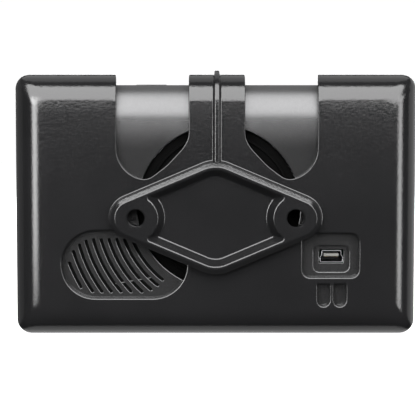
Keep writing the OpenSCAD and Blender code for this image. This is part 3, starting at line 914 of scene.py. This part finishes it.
def on_dock(r, a):
    """A point r from the docking recess's centre, in direction a."""
    return DOCK[0] + r * cos(a), DOCK[1] + r * sin(a)


def slot_paths(first=28.4, pitch=2.32, half=0.475):
    """Arc slots concentric with the docking recess, cut off by the speaker field."""
    w, h, cx, cz = 30.9, 17.0, -30.2, -15.0
    e = (w - h) / 2
    made = []

    def clear(r, a):
        x, z = on_dock(r, a)
        return math.hypot(max(abs(x - cx) - e, 0), z - cz) < h / 2 - half

    for i in range(10):
        r = first + i * pitch
        reach = [a for a in (radians(170 + 0.1 * k) for k in range(1200)) if clear(r, a)]
        if not reach:
            continue
        d0, d1 = math.degrees(reach[0]), math.degrees(reach[-1])
        made.append(arcs([(*DOCK, r + half, d0, d1), (*on_dock(r, reach[-1]), half, d1, d1 + 180),
                          (*DOCK, -(r - half), d1, d0),
                          (*on_dock(r, reach[0]), half, d0 + 180, d0 + 360)], 12))
    return made


def speaker_field(d):
    """The speaker's field behind the slots, kept clear of the docking recess."""
    keep = 26.1 + d
    away = lambda p: math.hypot(p[0] - DOCK[0], p[1] - DOCK[1])
    field = off(stadium(38.2 - 2 * d, 19.2 - 2 * d, *SPEAKER, 40), 0)
    pts = [p for p in field if away(p) > keep + 0.05]
    start = max(range(len(pts)), key=lambda i: away_step(pts, i))
    pts = pts[start + 1:] + pts[:start + 1]
    a0 = math.atan2(pts[-1][1] - DOCK[1], pts[-1][0] - DOCK[0]) % (2 * pi)
    a1 = math.atan2(pts[0][1] - DOCK[1], pts[0][0] - DOCK[0]) % (2 * pi)
    n = 40
    return pts + [on_dock(keep, a0 + (a1 - a0) * i / n) for i in range(1, n)]


def away_step(pts, i):
    """The gap after point i, where the docking recess cut the field away."""
    a, b = pts[i], pts[(i + 1) % len(pts)]
    return math.hypot(b[0] - a[0], b[1] - a[1]) if a[0] > -32 or b[0] > -15 else 0


def make_housing():
    """The unit's rear half: tray wall, button opening on top, and everything cut in its back."""
    shape = Shape()
    outer, inner = sections(U_BEND, SKIN, U_BACK, U_SPLIT, 0.25, [14.0, 15.5], 16)
    x0, x1 = -12.0, -28.0
    cols = 8

    def ring(s, y):
        flat_top = s + (s if y < U_BACK + U_BEND - 0.01 else 0.0) * (DOME / U_BEND - 1)
        pts = outline(U_W, U_LOW, U_TOP + s - flat_top, s, 4.0, x0, x1, 0.8)
        pts += [(x1 + (x0 - x1) * i / cols, U_TOP - flat_top) for i in range(1, cols)]
        return [(x, y, z) for x, z in pts]

    stations = outer + inner[::-1]
    ids = [shape.points(ring(s, y)) for s, y, _, _ in stations]
    n = len(ids[0])
    open_cols = range(n - cols, n)
    lo_k, hi_k = 16, 19
    skip = set(range(lo_k, hi_k)) | set(range(2 * len(outer) - 1 - hi_k, 2 * len(outer) - 1 - lo_k))
    for k in range(len(ids) - 1):
        for i in range(n):
            if k in skip and i in open_cols:
                continue
            j = (i + 1) % n
            shape.face((ids[k][i], ids[k][j], ids[k + 1][j], ids[k + 1][i]))
    # patch with the button's opening
    b_path = round_rect(10.6, 3.4, 1.1, *BUTTON, 5, 3)
    for z, base, sign in ((U_TOP, 0, 1), (U_TOP - SKIN, len(ids) - 1, -1)):
        rows = [ids[base + sign * k] for k in range(lo_k, hi_k + 1)]
        cols_ids = [n - cols + i for i in range(cols)] + [0]
        loop = [rows[0][c] for c in cols_ids] + [r[0] for r in rows[1:]]
        loop += [rows[-1][c] for c in cols_ids[::-1]][1:] + [r[n - cols] for r in rows[::-1]][1:-1]
        border = [(shape.v[i][0], shape.v[i][1]) for i in loop]
        d = 0.15 if z == U_TOP else 0
        shape.fill([border, off(b_path, d)], lambda a, b: (a, b, z), 1.5)
    shape.rings([[(p[0] + p[2] * o, p[1] + p[3] * o, z) for p in b_path]
                 for o, z in ((0.15, U_TOP), (0.04, U_TOP - 0.04), (0, U_TOP - 0.15), (0, U_TOP - SKIN))],
                closed=True)
    # the flat back
    y2 = U_BACK + 1.0
    field = speaker_field(0)
    holes_out, holes_mid = [], []
    for p in slot_paths():
        a, b = window(shape, p, U_BACK, y2, 0.1, 0, 2)
        holes_out.append(a)
        holes_mid.append(b)
    dock = circle(*DOCK, DOCK_R, 144)
    dock_out, dock_in = window(shape, dock, U_BACK, U_IN, 0.25, 0, 4)
    recess = round_rect(11.1, 8.3, 1.9, *USB_RECESS, 8)
    hole = round_rect(7.7, 4.3, 0.5, *USB, 5)
    rec_out, rec_in = window(shape, recess, U_BACK, y2, 0.18, 0, 3)
    hole_out, hole_in = window(shape, hole, y2, U_IN, 0.08, 0, 2)
    shape.cap([rec_in, hole_out], y2, 0)
    shape.cap([field] + holes_mid, y2, 2.0)
    shape.rings([[(x, y, z) for x, z in field] for y in (y2, U_IN)], closed=True)
    for half, loops, y in ((outer[0], holes_out + [dock_out, rec_out], U_BACK),
                           (inner[0], [field, dock_in, hole_in], U_IN)):
        border = [(p[0], p[2]) for p in ring(half[0], y)]
        shape.cap([border] + loops, y)
    shape.build("unit_back", "root", "housing_grey", ["rear_cover"])


def make_tie():
    """Thin tie across the lower ends of the middle slots."""
    shape = Shape()
    c, s = cos(radians(9.5)), sin(radians(9.5))
    section = [(0.2 * cos(2 * pi * i / 12), 0.2 * sin(2 * pi * i / 12)) for i in range(12)]
    along = [-5.9 + 11.8 * k / 12 for k in range(13)]
    ids = shape.rings([[(-25.2 + x * c - b * s, U_BACK + 0.5 + a, -19.7 + x * s + b * c)
                        for a, b in section] for x in along], closed=True)
    shape.face(ids[0])
    shape.face(ids[-1])
    shape.build("slot_tie", "root", "housing_grey")


def make_cloth():
    """Dust cloth behind the speaker's slots."""
    shape = Shape()
    field = speaker_field(0.15)
    faces = (U_BACK + 1.05, U_IN - 0.05)
    for y in faces:
        shape.cap([field], y, 1.5)
    shape.rings([[(x, y, z) for x, z in field] for y in faces], closed=True)
    shape.build("speaker_cloth", "root", "mesh_black", ["speaker_grille"])


def make_dock():
    """Round docking recess: a stepped ring and a floor with a hub and three key pockets."""
    shape = Shape()
    y = U_BACK
    face, floor_y = y + 0.95, y + 1.6
    profile = round_corners([(21.0, face), (21.9, face), (21.9, y + 0.3), (22.6, y + 0.3), (22.6, floor_y),
                             (25.0, floor_y), (25.0, floor_y + 1.2), (20.0, floor_y + 1.2)],
                            [0.15, 0.12, 0.15, 0.15, 0.12, 0.1], 4)
    turned = lambda r: circle(*DOCK, r, 144)
    shape.rings([flat(turned(r), 0, d) for r, d in profile], closed=True)
    loops = []
    for a in (-90, 150, 30):
        c, s = cos(radians(a)), sin(radians(a))
        path = [(DOCK[0] + p[0] * c - p[1] * s, DOCK[1] + p[0] * s + p[1] * c, p[2] * c - p[3] * s,
                 p[2] * s + p[3] * c) for p in round_rect(4, 5, 0.6, 14, 0, 5)]
        loops.append(path)
    loops.append(circle(*DOCK, 5.0, 48))
    rims = []
    for path in loops:
        upper, lower = window(shape, path, face, floor_y - 0.2, 0.12, 0, 3)
        shape.cap([lower], floor_y - 0.2, 0)
        rims.append(upper)
    shape.cap([off(turned(21.0), 0), rims[-1]] + rims[:-1], face, 2.5)
    shape.cap([off(turned(20.0), 0)], floor_y + 1.2, 5)
    shape.build("dock_ring", "root", "dock_black", ["dock_plate"])


def frame_rings(shape, specs, n=8):
    """Closed rings of rounded rectangles: (width, height, corner, depth)."""
    return shape.rings([[(p[0], y, p[1]) for p in round_rect(w, h, r, 0, U_MID, n, 24)]
                        for w, h, r, y in specs], closed=True)


def make_bezel():
    """Front frame round the screen, with a large round at its outer edge."""
    shape = Shape()
    w, h = 2 * U_W, U_TOP - U_LOW
    y0, edge_r, small_r = U_SPLIT + 0.1, 3.5, 0.25
    at = lambda s, y: (w - 2 * s, h - 2 * s, max(4.0 - s, 0.5), y)
    specs = [at(small_r - small_r * cos(pi / 2 * k / 3), y0 + small_r - small_r * sin(pi / 2 * k / 3))
             for k in (3, 2, 1, 0)]
    specs += [at(0, y0 + 1.6), at(0, GLASS - edge_r)]
    specs += [at(edge_r - edge_r * cos(pi / 2 * k / 10), GLASS - edge_r + edge_r * sin(pi / 2 * k / 10))
              for k in range(1, 11)]
    inside_w, inside_h = w - 2 * SKIN, h - 2 * SKIN
    specs += [(LENS_W + 0.24, LENS_H + 0.24, 3.12, GLASS), (LENS_W + 0.07, LENS_H + 0.07, 3.03, GLASS - 0.04),
              (LENS_W, LENS_H, 3.0, GLASS - 0.15), (LENS_W, LENS_H, 3.0, GLASS - 1.3),
              (98, 57, 2, GLASS - 1.3), (98, 57, 2, GLASS - 2.1), (inside_w, inside_h, 2.2, GLASS - 2.1),
              (inside_w, inside_h, 2.2, y0), at(small_r, y0)]
    frame_rings(shape, specs)
    shape.build("unit_bezel", "root", "bezel_black", ["front_bezel"])


def make_lens():
    """The screen's glass, its front edge softened."""
    shape = Shape()
    y1, y0 = GLASS - 0.05, GLASS - 1.05
    specs = [(111.4, 67.2, 2.8, y0), (111.6, 67.4, 2.9, y0 + 0.1), (111.6, 67.4, 2.9, y1 - 0.3),
             (111.5, 67.3, 2.85, y1 - 0.12), (111.2, 67.0, 2.7, y1 - 0.02), (110.8, 66.6, 2.5, y1)]
    frame_rings(shape, specs)
    for w, h, r, y in (specs[0], specs[-1]):
        shape.cap([off(round_rect(w, h, r, 0, U_MID, 8, 24), 0)], y, 6)
    shape.build("screen_lens", "root", "lens_glass", ["touch_lens"])


def make_socket():
    """Power socket: a folded metal shell, wide side down, with its tongue and contacts."""
    shape = Shape()
    corner = [(-3.65, -1.95), (3.65, -1.95), (3.65, -0.35), (3.1, 0.55), (3.1, 1.9), (-3.1, 1.9),
              (-3.1, 0.55), (-3.65, -0.35)]
    closed = corner[-1:] + corner + corner[:1]
    soft = round_corners(closed, [0.55, 0.55, 0.5, 0.5, 0.45, 0.45, 0.5, 0.5], 5)[1:-1]
    y0, y1 = U_BACK + 0.8, 14.4
    mouth = lambda d, y: [(USB[0] + x, y, USB[1] + z) for x, z in inset(soft, d)]
    rings = [mouth(d, y) for d, y in ((0.0, y1), (0.0, y0 + 0.12), (0.05, y0 + 0.02), (0.12, y0), (0.2, y0),
                                      (0.27, y0 + 0.03), (0.3, y0 + 0.12), (0.3, y1 - 0.4))]
    shape.rings(rings, closed=True)
    for ring in (rings[0], rings[-1]):
        shape.cap([[(p[0], p[2]) for p in ring]], ring[0][1], 0)
    shape.build("usb_mouth", "root", "socket_steel", ["usb_shell"])

    # black sheet over the shell's inner walls: painted shade, darkening the socket's inside where only shade
    # falls
    shape = Shape()
    shape.rings([mouth(d, y) for d, y in ((0.31, y0 + 0.2), (0.4, y0 + 0.3), (0.4, y1 - 0.6),
                                          (0.31, y1 - 0.6), (0.31, y0 + 0.2))], closed=True)
    shape.build("usb_shade_liner", "root", "mesh_black")

    shape = Shape()
    path = round_rect(4.8, 1.05, 0.2, USB[0], USB[1] + 0.425, 4, 3)
    a, b = U_BACK + 1.4, 13.8
    rings = [flat(path, 0, b), flat(path, 0, a + 0.25), flat(path, -0.08, a + 0.07), flat(path, -0.2, a)]
    shape.rings(rings, closed=True)
    for d, y in ((0, b), (-0.2, a)):
        shape.cap([off(path, d)], y, 0)
    shape.build("usb_blade", "root", "socket_tongue", ["usb_tongue"])

    shape = Shape()
    for i in range(-2, 3):
        path = round_rect(0.34, 0.12, 0.04, USB[0] + i * 0.8, USB[1] - 0.16, 3, 1)
        a, b = U_BACK + 1.6, 13.7
        shape.rings([flat(path, 0, b), flat(path, 0, a + 0.1), flat(path, -0.03, a)], closed=True)
        for d, y in ((0, b), (-0.03, a)):
            shape.cap([off(path, d)], y, 0)
    shape.build("usb_pins", "root", "gold", ["usb_contacts"])


def make_button():
    """Power button: a domed cap over a flange that keeps it in the unit."""
    shape = Shape()
    cap = round_rect(10.0, 2.8, 0.9, *BUTTON, 5, 4)
    flange = round_rect(12.4, 4.0, 1.2, *BUTTON, 5, 4)
    top = U_TOP + 0.2
    low = U_TOP - 3.3
    put = lambda path, d, z: [(p[0] + p[2] * d, p[1] + p[3] * d, z) for p in path]
    rings = [put(flange, 0, low), put(flange, 0, low + 0.9), put(flange, -0.1, low + 1.0),
             put(cap, 0.1, low + 1.0), put(cap, 0, low + 1.1), put(cap, 0, top - 0.45),
             put(cap, -0.06, top - 0.22), put(cap, -0.25, top - 0.06), put(cap, -0.5, top)]
    shape.rings(rings, closed=True)
    shape.fill([off(cap, -0.5)], lambda a, b: (a, b, top), 0)
    shape.fill([off(flange, 0)], lambda a, b: (a, b, low), 0)
    shape.build("power_key", "button", "button_grey", ["power_button"])


make_cradle()
make_lip()
make_tongue()
make_rib()
make_boss()
make_housing()
make_tie()
make_cloth()
make_dock()
make_bezel()
make_lens()
make_socket()
make_button()

# ---- the frame's own pieces keep their shapes and get a finish ----

record = frame["record"]
SLOTS = {row["node"]: row["material_slot"] for row in record["subparts"]}
for name, ob in frame["nodes"].items():
    if ob.hide_render:
        continue
    ob.data.materials.clear()
    ob.data.materials.append(material(SLOTS[name]))
    soft_edge = ob.modifiers.new("edge", "BEVEL")
    soft_edge.width = 8e-5
    soft_edge.segments = 2
    soft_edge.limit_method = "ANGLE"
    soft_edge.angle_limit = radians(50)


# ---- floor and light ----

def glow(name, level, strength):
    """Pale matt paper that is also lit through from behind."""
    mat, _, bsdf = nodes_of(name, (level,) * 3, 0.9)
    bsdf.inputs["Specular IOR Level"].default_value = 0.1
    bsdf.inputs["Emission Color"].default_value = (1, 1, 1, 1)
    bsdf.inputs["Emission Strength"].default_value = strength
    return mat


def stage_piece(name, pts, faces, mat):
    """The camera sees it, but nothing on the object mirrors it or is lit by it."""
    mesh = bpy.data.meshes.new(name)
    mesh.from_pydata(pts, [], faces)
    mesh.materials.append(mat)
    ob = add(name, mesh)
    ob.visible_glossy = False
    ob.visible_diffuse = False
    ob.visible_shadow = False


def make_stage():
    """A pale floor, and a lit backdrop all round."""
    z = FOOT * MM - 0.0002
    stage_piece("floor", [(x, y, z) for y in (-4.0, 4.0) for x in (-4.0, 4.0)], [(0, 1, 3, 2)],
                glow("floor", 0.8, 0.95))
    n = 48
    pts, faces = [], []
    for i in range(n):
        a, j = 2 * pi * i / n, (i + 1) % n
        pts += [(3.9 * cos(a), 3.9 * sin(a), z - 0.5), (3.9 * cos(a), 3.9 * sin(a), 4.0)]
        faces.append((2 * i, 2 * j, 2 * j + 1, 2 * i + 1))
    faces.append(tuple(range(1, 2 * n, 2)))
    stage_piece("backdrop", pts, faces, glow("backdrop", 0.1, 1.0))


def area(name, azimuth, elevation, w, h, power):
    """A soft box a metre off that faces the object. Azimuth 0 is the camera's side, 90 is +X."""
    a, e = radians(azimuth), radians(elevation)
    back = Vector((sin(a) * cos(e), -cos(a) * cos(e), sin(e)))
    lamp = bpy.data.lights.new(name, "AREA")
    lamp.shape = "RECTANGLE"
    lamp.size, lamp.size_y = w, h
    lamp.energy = power
    ob = add(name, lamp)
    aim(ob, back + Vector((0, 0.01, 0.003)), back)
    ob.visible_camera = False


# azimuth, elevation, width and height in metres, watts
LIGHTS = {
    "top_box": (-2, 37, 1.9, 1.1, 54),
    "left_strip": (-32, 4, 0.34, 0.42, 5.6),
    "right_strip": (48, 2, 0.3, 0.5, 3.8),
    "low_box": (180, -62, 1.3, 1.1, 3.6),
    "left_box": (-118, 5, 1.1, 1.1, 0.7),
    "right_box": (118, 5, 1.1, 1.1, 2.6),
    "over_box": (180, 66, 1.4, 0.9, 3.2),
    "screen_box": (180, 14, 0.6, 0.4, 1.6),
}

make_stage()
for name, spec in LIGHTS.items():
    area(name, *spec)

world = bpy.data.worlds.new("world")
bpy.context.scene.world = world
world.use_nodes = True
world.node_tree.nodes["Background"].inputs["Color"].default_value = (1, 1, 1, 1)
world.node_tree.nodes["Background"].inputs["Strength"].default_value = 0.04
